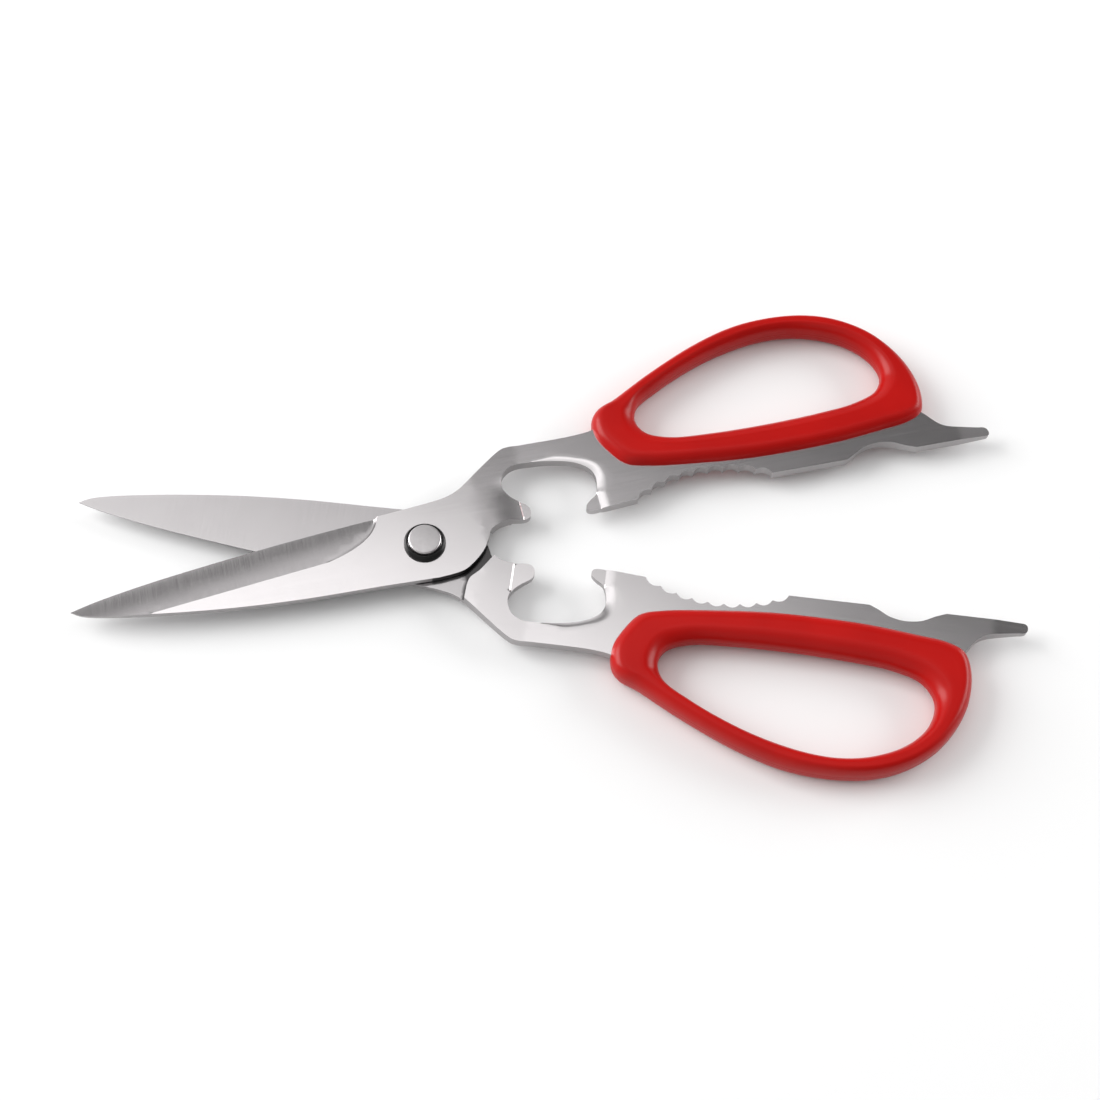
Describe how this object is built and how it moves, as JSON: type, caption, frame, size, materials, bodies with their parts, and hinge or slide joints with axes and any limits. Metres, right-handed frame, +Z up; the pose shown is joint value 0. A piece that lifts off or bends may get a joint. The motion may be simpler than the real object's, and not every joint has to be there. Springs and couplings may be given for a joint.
{
  "type": "poultry shears",
  "caption": "Lapped stainless kitchen shears with hollow-ground blades, a toothed bone notch, a scalloped jaw, bottle-opener tails and red loop grips on one pivot.",
  "frame": {"origin": "On the pivot axis, in the plane that the shears rest on: the centre of the pivot nut's foot.", "axes": "+Z is up, along the pivot axis and away from the resting plane. +X runs from the blades to the handles, along the bisector of the two halves. +Y is towards the front half's grip."},
  "size_m": [0.2021, 0.1132, 0.0071],
  "materials": {
    "steel": "fine brushed and satin polished stainless steel, darker brushed grain on the hollow-ground bands",
    "pivot_steel": "satin turned stainless steel",
    "collar": "satin black moulded plastic",
    "grip": "semi-gloss red moulded plastic"
  },
  "bodies": {
    "front_half": {"front_blade": "steel", "front_grip": "grip", "pivot_bolt": "pivot_steel", "pivot_collar": "collar", "rear_washer": "pivot_steel", "pivot_nut": "pivot_steel"},
    "rear_half": {"rear_blade": "steel", "rear_grip": "grip"}
  },
  "joints": [
    {"name": "blade_pivot", "type": "hinge", "parent": "front_half", "child": "rear_half", "pos_m": [0, 0, 0.0035], "axis": [0, 0, -1], "range_deg": [-20.6, 54.4]}
  ]
}
